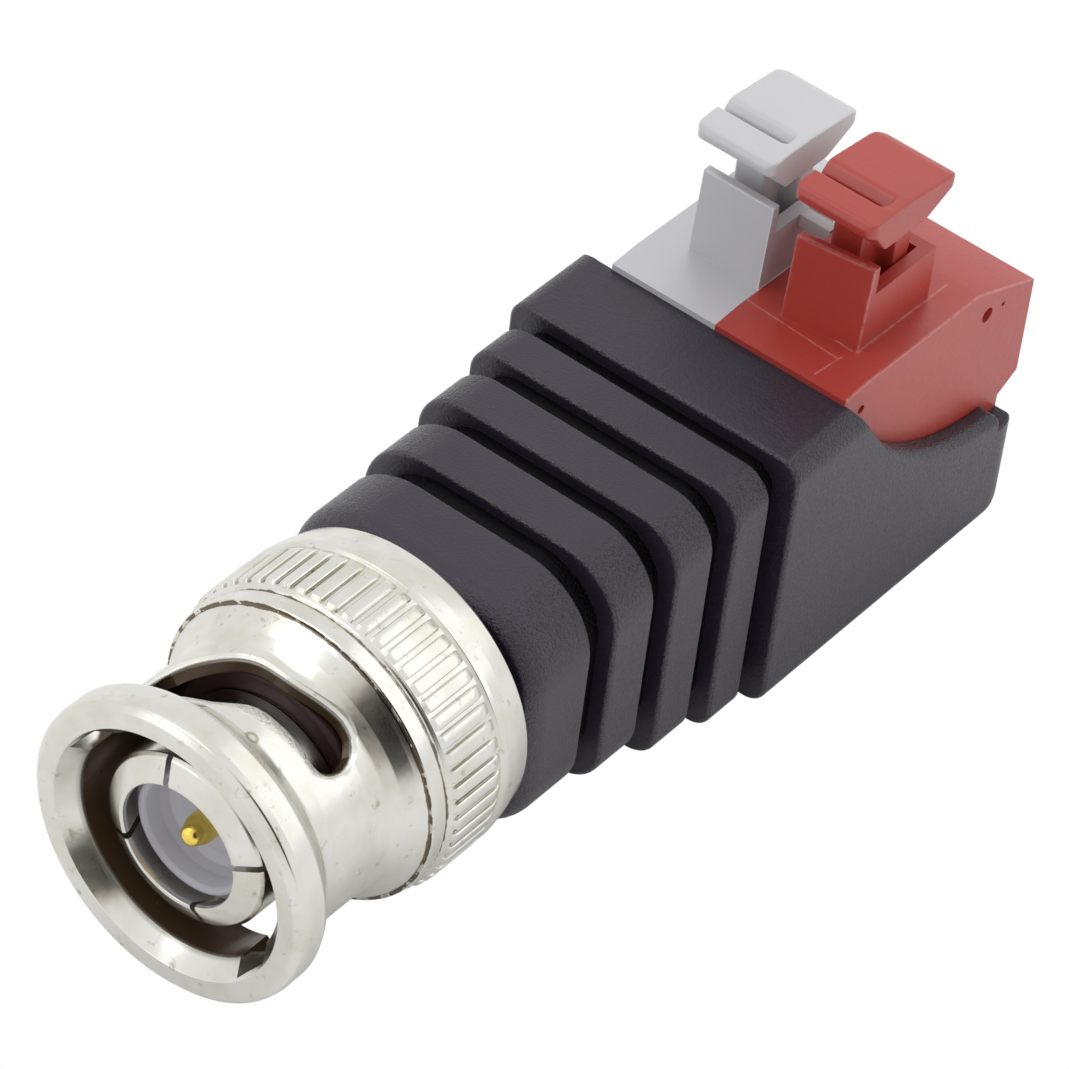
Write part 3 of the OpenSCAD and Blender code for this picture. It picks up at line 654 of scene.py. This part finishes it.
insulatorDisc = lathe("insulatorDisc", filletLoop([
    (0.7, 1.9), (1.85, 1.9, 0.25), (2.25, 1.7, 0.15), (2.42, 1.3, 0.1), (2.5, 0.6, 0.1), (2.6, 0.42, 0.08),
                                                   (2.76, 0.42, 0.08), (2.95, 0.6, 0.1), (3.28, 0.95, 0.05),
                                                   (3.28, 13.2), (1.08, 13.2), (1.08, 6.02), (0.7, 6.02)]),
                      96)
smoothByAngle(insulatorDisc, 40)
finishPiece(insulatorDisc, ptfe, "plug", "insulator", "insulator")

gasketRing = cadCopy("sealing_gasket", "gasketRing")
softenEdges(gasketRing, 0.08, 2)
finishPiece(gasketRing, shadedGasketRubber, "plug", "gasket", "sealing_gasket")

centrePin = lathe("centrePin", filletLoop([(0.001, 0.06), (0.14, 0.07), (0.27, 0.12), (0.38, 0.2),
                                           (0.46, 0.32), (0.52, 0.48), (0.6, 0.66), (0.66, 0.84),
                                           (0.675, 1.0), (0.675, 6.0), (1.05, 6.0), (1.05, 16.9),
                                           (0.9, 17.3), (0.9, 18.2), (0.001, 18.2)], 5), 64)
smoothByAngle(centrePin, 50)
finishPiece(centrePin, gold, "plug", "gold", "centre_pin")
print("plug body made")


# housing and terminals

# groove depth and edge roundings, then the scoops in the side walls, the low step at the rear
# and the inner faces of the side walls
housing = {"groove": 0.65, "front": 0.2, "rear": 0.14, "heel": 1.0, "lip": 0.5,
           "scoopY": 45.85, "scoopZ": 12.4, "scoopRadius": 13.9, "scoopStart": 34.6,
           "stepY": 45.2, "stepZ": -2.4, "inside": 6.6}
# front, rear, half width, underside, top, upper and lower corner radius of each rib, then of the rear block
ribs = [(13.5, 17.3, 6.5, 5.93, 5.8, 3.6, 2.9), (18.65, 21.15, 6.68, 6.18, 5.72, 3.05, 2.1),
        (22.32, 24.68, 6.9, 6.92, 5.7, 2.25, 1.4),
        (25.92, 28.1, 7.13, 7.5, 5.6, 1.5, 1.0), (29.2, 46.5, 7.65, 8.0, 5.65, 1.0, 1.0)]


def softRect(y, w, b, t, rt, rb, inset=0.0):
    # ring of points round a rectangle with rounded corners, moved in by the inset
    w, b, t = w - inset, b - inset, t - inset
    rt, rb = max(rt - inset / 2, 0.2), max(rb - inset / 2, 0.2)
    ring = []
    for cx, cz, r, start in [(w - rt, t - rt, rt, 0), (rt - w, t - rt, rt, 90), (rb - w, rb - b, rb, 180),
                             (w - rb, rb - b, rb, 270)]:
        for k in range(13):
            a = math.radians(start + 7.5 * k)
            ring.append(Vector((cx + r * math.cos(a), y, cz + r * math.sin(a))) * mm)
    return ring


def loft(name, sections):
    # skin over rings of points, closed at both ends
    bm = bmesh.new()
    rings = [[bm.verts.new(p) for p in section] for section in sections]
    bridgeRings(bm, rings)
    bm.faces.new(rings[0])
    bm.faces.new(rings[-1])
    return solidObject(name, bm)


def quarter(steps=4):
    # quarter of a circle, for rounding an edge
    return [(1 - math.cos(math.pi / 2 * k / steps), 1 - math.sin(math.pi / 2 * k / steps))
            for k in range(steps + 1)]


def housingSections():
    sections = []
    for i, (y0, y1, *shape) in enumerate(ribs):
        if i == 0:
            sections += [softRect(y0 + 1.2 * a, *shape, 0.55 * b) for a, b in quarter(8)]
        else:
            sections.append(softRect(y0, *ribs[i - 1][2:], housing["groove"]))
            sections += [softRect(y0 + housing["front"] * a, *shape, housing["front"] * b) for a,
                         b in quarter()]
        if i < len(ribs) - 1:
            sections += [softRect(y1 - housing["rear"] * a, *shape, housing["rear"] * b) for a,
                         b in reversed(quarter())]
            sections.append(softRect(y1, *shape, housing["groove"]))
        else:
            w, under, *rest = shape
            sections += [softRect(y1 - housing["heel"] * a, w - 0.45 * b, under - housing["heel"] * b,
                                  *rest) for a, b in reversed(quarter(7))]
    return sections


def discCutter(name, y, z, radius, x0, x1, steps=110):
    # round bar across the part
    turns = [2 * math.pi * k / steps for k in range(steps)]
    return loft(name, [[Vector((x, y + radius * math.cos(a), z + radius * math.sin(a))) * mm for a in turns]
                       for x in (x0, x1)])


scoop = (housing["scoopY"], housing["scoopZ"], housing["scoopRadius"])
stepY, inside = housing["stepY"], housing["inside"]
housingShell = loft("housingShell", housingSections())
cutAway(housingShell, [
    discCutter("scoopRight", *scoop, 6.55, 8.7), discCutter("scoopLeft", *scoop, -8.7, -6.55),
    boxCutter("rearStep", (-9, stepY, housing["stepZ"]), (9, 50, 20)),
    boxCutter("opening", (-inside, 33.68, 0), (inside, stepY, 20)),
    boxCutter("chamber", (-inside, 30.5, -7), (inside, stepY, 4.65)),
    loft("channel", [softRect(y, 4.4, 3.6, 3.2, 1.5, 1.5) for y in (16.85, 30.6)]),
    lathe("socket", [Vector(p) for p in [(0.001, 12.9), (4.0, 12.9), (4.0, 14.3), (4.8, 14.3), (4.8, 16.3),
                                         (3.4, 16.3), (3.4, 17.6), (0.001, 17.6)]], 96)])


def roundLips(piece, width):
    # rounds the outer lips of the two scoops more than the rest of their edges
    bm = bmesh.new()
    bm.from_mesh(piece.data)
    bmesh.ops.remove_doubles(bm, verts=bm.verts, dist=0.0005 * mm)
    bmesh.ops.dissolve_degenerate(bm, dist=0.0005 * mm, edges=bm.edges)
    layer = bm.edges.layers.float.new("bevel_weight_edge")
    for edge in bm.edges:
        if len(edge.link_faces) != 2 or edge.calc_face_angle(0) < math.radians(25):
            continue
        ends = [v.co / mm for v in edge.verts]
        reach = [math.hypot(p.y - housing["scoopY"], p.z - housing["scoopZ"]) for p in ends]
        onScoop = all(abs(r - housing["scoopRadius"]) < 0.03 and p.y > 33 for r, p in zip(reach, ends))
        start = min(p.y for p in ends) - housing["scoopStart"]
        if onScoop and start < 0:
            continue  # the scoop's front end stays sharp
        if onScoop and all(abs(p.x) > 7.5 for p in ends):
            edge[layer] = min(0.12 + start / 2.2, 1.0)
        elif all(abs(p.y - housing["stepY"]) < 0.01 and p.z > -2 for p in ends):
            edge[layer] = 0.9
        elif onScoop or all(p.y > housing["scoopStart"] and p.z > -2.5 for p in ends):
            edge[layer] = 0.2
    bm.to_mesh(piece.data)
    bm.free()
    bevel = piece.modifiers.new("lips", "BEVEL")
    bevel.width = width * mm
    bevel.segments = 4
    bevel.limit_method = "WEIGHT"
    bevel.use_clamp_overlap = False
    bakeModifiers(piece)
    smoothByAngle(piece, 34)
    weighNormals(piece)


roundLips(housingShell, housing["lip"])
finishPiece(housingShell, blackPlastic, "plug", "black_plastic", "housing")
print("housing made", len(housingShell.data.polygons))

for node, name, material, slot in [("terminal_block_red", "terminalRed", redPlastic, "red_plastic"),
                                   ("terminal_block_grey", "terminalGrey", greyPlastic, "grey_plastic")]:
    piece = cadCopy(node, name)
    if name == "terminalRed":
        cutAway(piece, [discCutter("pit", 44.2, 4.2, 0.37, 6.28, 7.2, 20)])
    softenEdges(piece, 0.08, 3)
    finishPiece(piece, material, "plug", slot, node)

# places of the two levers, and the cuts in each one measured from there
levers = {"skin": 0.055, "relax": 14, "leverRed": (3.25, 39.1), "leverGrey": (-2.15, 39.5),
          "groove": ((-3, -1.9, 12.4), (1.4, -1.42, 14)), "recess": ((0.4, -2, 7.0), (1.4, 0.2, 11.15))}
for node, name, material, slot, body in [("lever_red", "leverRed", redLeverPlastic, "red_plastic",
                                          "red_lever"), ("lever_grey", "leverGrey", greyLeverPlastic,
                                              "grey_plastic", "grey_lever")]:
    piece = cadCopy(node, name)
    middle = Vector((*levers[name], 0))
    cutAway(piece, [boxCutter(cut, *(middle + Vector(corner) for corner in levers[cut]))
                    for cut in ("groove", "recess")])
    meltEdges(piece, levers["skin"], levers["relax"])
    finishPiece(piece, material, body, slot, node)
print("terminals and levers made")

# wave washer, which the slip washer presses on; here it keeps its shape, with a mesh of its own
waveSpring = cadCopy("wave_washer", "waveSpring")
smoothByAngle(waveSpring, 30)
finishPiece(waveSpring, springSteel, "plug", "spring_steel", "wave_washer")
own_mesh(waveSpring)

for node, material in [("slip_washer", springSteel), ("retaining_ring", springSteel),
                       ("rear_bushing", ptfe),
                       ("clamp_spring_red", springSteel), ("clamp_spring_grey", springSteel),
                       ("contact_bar_red", tinned), ("contact_bar_grey", tinned),
                       ("signal_wire", redSleeve), ("ground_wire", blackSleeve)]:
    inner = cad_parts[node]
    inner.data.materials.clear()
    inner.data.materials.append(material)


# floor, light and camera

studio = {"floorDrop": -8.0, "world": 0.78, "overheadPower": 0.34, "rearPower": 0.34, "backPower": 0.45,
          "fillPower": 0.15}


def floorMaterial():
    # white sweep: the camera sees clean white, while mirrors see its shadow
    # and its colour lights the part from below
    material, tree = newMaterial("paleFloor")
    ray = addNode(tree, "ShaderNodeLightPath")
    base = addNode(tree, "ShaderNodeBsdfDiffuse", {"Color": hexLinear("#fafafa")})
    glow = addNode(tree, "ShaderNodeEmission", {"Color": (1, 1, 1, 1), "Strength": 1.0})
    both = addNode(tree, "ShaderNodeMixShader", {0: ray.outputs["Is Camera Ray"], 1: base.outputs[0],
                                                 2: glow.outputs[0]})
    addNode(tree, "ShaderNodeOutputMaterial", {"Surface": both.outputs[0]})
    return material


def makeFloor():
    bm = bmesh.new()
    bmesh.ops.create_grid(bm, x_segments=1, y_segments=1, size=3.0)
    for v in bm.verts:
        v.co.z = studio["floorDrop"] * mm
    mesh = bpy.data.meshes.new("floor")
    bm.to_mesh(mesh)
    bm.free()
    floor = linkObject("floor", mesh)
    mesh.materials.append(floorMaterial())


def patchMask(tree, place, direction, size, soft):
    # 1 inside an oval of sky about a direction, 0 outside; its half width and half height are sines of angles
    toward = Vector(direction).normalized()
    side = Vector((0, 0, 1)).cross(toward).normalized()
    turn = Matrix((side, toward.cross(side), toward)).transposed().to_euler()
    local = addNode(tree, "ShaderNodeMapping", {"Vector": place, "Rotation": turn,
                                                "Scale": (size[0], size[1], 1.0)}, vector_type="TEXTURE")
    parts = addNode(tree, "ShaderNodeSeparateXYZ", {0: local.outputs[0]})
    flat = addNode(tree, "ShaderNodeCombineXYZ", {"X": parts.outputs["X"], "Y": parts.outputs["Y"]})
    reach = addNode(tree, "ShaderNodeVectorMath", {0: flat.outputs[0]}, operation="LENGTH")
    edge = addNode(tree, "ShaderNodeMapRange", {"Value": reach.outputs["Value"], "From Min": 1.0,
                                                "From Max": 1.0 - soft}, interpolation_type="SMOOTHSTEP")
    ahead = addNode(tree, "ShaderNodeMath", {0: parts.outputs["Z"], 1: 0.0}, operation="GREATER_THAN")
    return addNode(tree, "ShaderNodeMath", {0: edge.outputs["Result"], 1: ahead.outputs[0]},
                   operation="MULTIPLY").outputs[0]


room = {"direction": (0.74, -0.47, 0.45), "tan": (0.54, 0.74), "dark": (0.4, 0.62), "shade": "#b9a98a",
        "black": "#080706"}


def makeWorld():
    # white tent with a dark gap on the camera's side, which only mirrors show
    world = bpy.data.worlds.new("studio")
    bpy.context.scene.world = world
    world.use_nodes = True
    tree = world.node_tree
    tree.nodes.clear()
    ray = addNode(tree, "ShaderNodeLightPath")
    place = addNode(tree, "ShaderNodeTexCoord").outputs["Object"]
    tan = addNode(tree, "ShaderNodeMix", {0: patchMask(tree, place, room["direction"], room["tan"], 0.5),
                                          6: (1, 1, 1, 1), 7: hexLinear(room["shade"])}, data_type="RGBA")
    gap = addNode(tree, "ShaderNodeMix", {0: patchMask(tree, place, room["direction"], room["dark"], 0.3),
                                          6: tan.outputs[2], 7: hexLinear(room["black"])}, data_type="RGBA")
    tent = addNode(tree, "ShaderNodeMix", {0: ray.outputs["Is Glossy Ray"], 6: (1, 1, 1, 1),
                                           7: gap.outputs[2]}, data_type="RGBA")
    shown = addNode(tree, "ShaderNodeMath", {0: ray.outputs["Is Camera Ray"],
                                             1: ray.outputs["Is Glossy Ray"]}, operation="MAXIMUM")
    level = addNode(tree, "ShaderNodeMapRange", {"Value": shown.outputs[0], "To Min": studio["world"],
                                                 "To Max": 1.0})
    back = addNode(tree, "ShaderNodeBackground", {"Color": tent.outputs[2],
                                                  "Strength": level.outputs["Result"]})
    addNode(tree, "ShaderNodeOutputWorld", {"Surface": back.outputs[0]})


# near the middle of the part, where the lights point
partMiddle = (0, 0.024, 0)


def softLight(name, direction, distance, size, power, mirrored=True):
    lamp = bpy.data.lights.new(name, "AREA")
    lamp.shape = "RECTANGLE"
    lamp.size, lamp.size_y = size
    lamp.energy = power
    holder = bpy.data.objects.new(name, lamp)
    bpy.context.scene.collection.objects.link(holder)
    aim = Vector(partMiddle)
    away = Vector(direction).normalized()
    holder.location = aim + away * distance
    holder.rotation_euler = away.to_track_quat("Z", "Y").to_euler()
    holder.visible_glossy = mirrored


makeFloor()
makeWorld()
softLight("overhead", (-0.4, -0.27, 0.85), 0.5, (0.24, 0.36), studio["overheadPower"])
softLight("rearRight", (0.5, 0.6, 0.58), 0.5, (0.5, 0.5), studio["rearPower"])
softLight("backTop", (-0.35, 0.65, 0.7), 0.5, (0.3, 0.3), studio["backPower"], False)
softLight("fillFront", (-0.5, -0.8, 0.3), 0.6, (0.3, 0.3), studio["fillPower"])

view = {"place": (109.29, -142.62, 183.03), "azimuth": 33.755, "elevation": 42.576, "roll": 7.4,
        "lens": 219.39, "shift": (0.01186, 0.00423)}


def makeCamera():
    a, e, r = (math.radians(view[k]) for k in ("azimuth", "elevation", "roll"))
    back = Vector((math.sin(a) * math.cos(e), -math.cos(a) * math.cos(e), math.sin(e)))
    right = Vector((0, 0, 1)).cross(back).normalized()
    up = back.cross(right)
    right, up = right * math.cos(r) + up * math.sin(r), up * math.cos(r) - right * math.sin(r)
    lensData = bpy.data.cameras.new("camera")
    lensData.lens = view["lens"]
    lensData.sensor_width = 36
    lensData.shift_x, lensData.shift_y = view["shift"]
    lensData.clip_start = 0.01
    camera = bpy.data.objects.new("camera", lensData)
    bpy.context.scene.collection.objects.link(camera)
    turn = Matrix((right, up, back)).transposed().to_4x4()
    camera.matrix_world = Matrix.Translation(Vector(view["place"]) * mm) @ turn
    bpy.context.scene.camera = camera


makeCamera()
bpy.context.scene.view_settings.view_transform = "Standard"
print("studio made")
